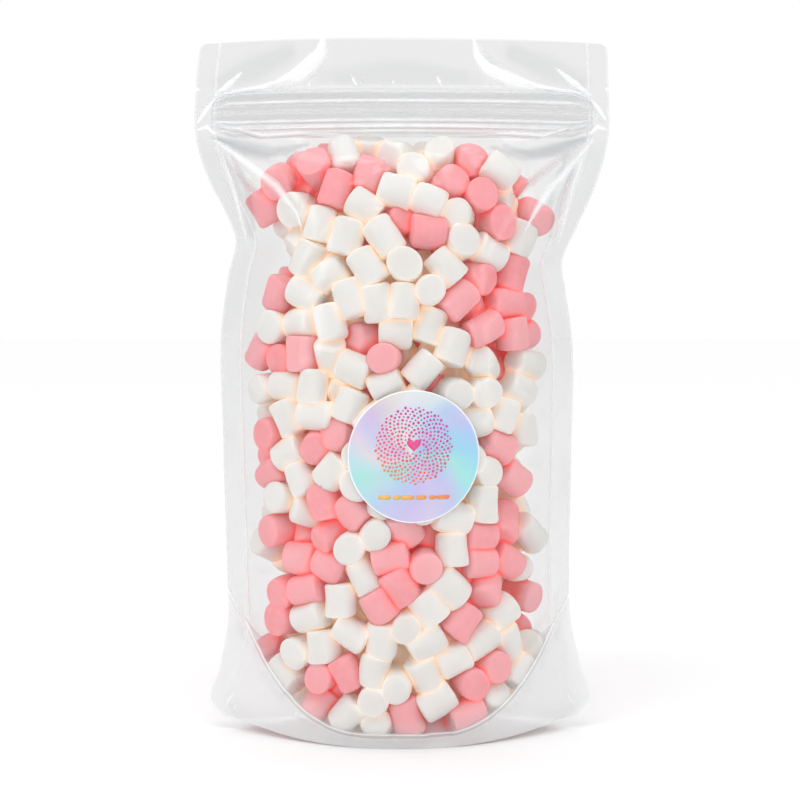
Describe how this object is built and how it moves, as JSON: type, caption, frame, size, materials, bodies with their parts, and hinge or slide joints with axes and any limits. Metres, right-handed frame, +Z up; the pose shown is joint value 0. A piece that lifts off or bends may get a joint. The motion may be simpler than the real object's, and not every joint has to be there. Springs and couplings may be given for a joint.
{
  "type": "pouch of marshmallows",
  "caption": "Clear stand-up zip pouch, sealed and filled with white and pink mini marshmallows, with a round plain sticker on its front.",
  "frame": {"origin": "under the middle of the pouch, on the surface that it stands on", "axes": "+Z up towards the zip, -Y towards the viewer of the pouch's front, +X to that viewer's right"},
  "size_m": [0.1626, 0.0692, 0.274],
  "materials": {
    "film": "clear, thin, glossy, softly wrinkled",
    "zip": "milky clear pressed ribs",
    "marshmallow_white": "soft, matte, starch-dusted",
    "marshmallow_pink": "soft, matte, starch-dusted",
    "sticker": "pearly pastel foil"
  },
  "bodies": {
    "root": {"pouch": "film", "sticker": "sticker"}
  },
  "joints": []
}
